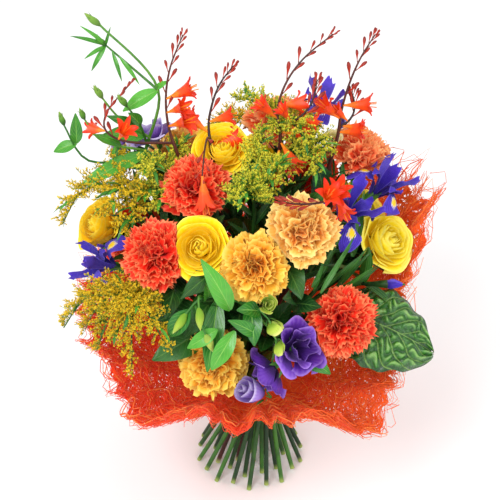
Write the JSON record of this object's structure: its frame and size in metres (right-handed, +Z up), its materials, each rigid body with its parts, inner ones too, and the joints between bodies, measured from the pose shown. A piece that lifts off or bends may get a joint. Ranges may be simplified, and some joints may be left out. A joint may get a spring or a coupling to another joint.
{
  "type": "mixed flower bouquet",
  "caption": "Hand-tied round bouquet of mixed garden flowers that stands on its fanned cut stems, gathered in a ruffled collar of sisal sheet.",
  "frame": {"origin": "the flat cut end of the middle stem, on the surface that the bouquet stands on", "axes": "+Z up along the middle stem, -Y towards the side that the picture shows, +X to that side's right"},
  "size_m": [0.3682, 0.3329, 0.5404],
  "materials": {
    "carnation_red": "matte petals",
    "carnation_peach": "matte petals",
    "rose_yellow": "satin petals",
    "iris_blue": "satin petals",
    "lisianthus_purple": "satin petals",
    "lisianthus_green": "satin leaves",
    "crocosmia_orange": "satin petals",
    "goldenrod_gold": "matte tiny florets",
    "leaf_dark": "glossy leaf",
    "leaf_green": "satin leaves and stems",
    "sisal_orange": "rough loose fibre",
    "twine": "rough twisted fibre"
  },
  "bodies": {
    "root": {"carnation_a": "carnation_red", "carnation_b": "carnation_red", "carnation_c": "carnation_red", "carnation_d": "carnation_red", "carnation_e": "carnation_red", "carnation_j": "carnation_red", "carnation_l": "carnation_red", "carnation_f": "carnation_peach", "carnation_g": "carnation_peach", "carnation_h": "carnation_peach", "carnation_i": "carnation_peach", "carnation_k": "carnation_peach", "rose_a": "rose_yellow", "rose_b": "rose_yellow", "rose_c": "rose_yellow", "rose_d": "rose_yellow", "rose_e": "rose_yellow", "rose_f": "rose_yellow", "iris_a": "iris_blue", "iris_b": "iris_blue", "iris_c": "iris_blue", "iris_d": "iris_blue", "iris_e": "iris_blue", "lisianthus_a": "lisianthus_purple", "lisianthus_d": "lisianthus_purple", "lisianthus_b": "lisianthus_green", "lisianthus_c": "lisianthus_green", "crocosmia_a": "crocosmia_orange", "crocosmia_b": "crocosmia_orange", "crocosmia_c": "crocosmia_orange", "crocosmia_d": "crocosmia_orange", "crocosmia_e": "crocosmia_orange", "goldenrod_a": "goldenrod_gold", "goldenrod_b": "goldenrod_gold", "goldenrod_c": "goldenrod_gold", "goldenrod_d": "goldenrod_gold", "goldenrod_e": "goldenrod_gold", "goldenrod_f": "goldenrod_gold", "puckered_leaf": "leaf_dark", "iris_leaves": "leaf_green", "wrapper": "sisal_orange", "tie": "twine"}
  },
  "joints": []
}
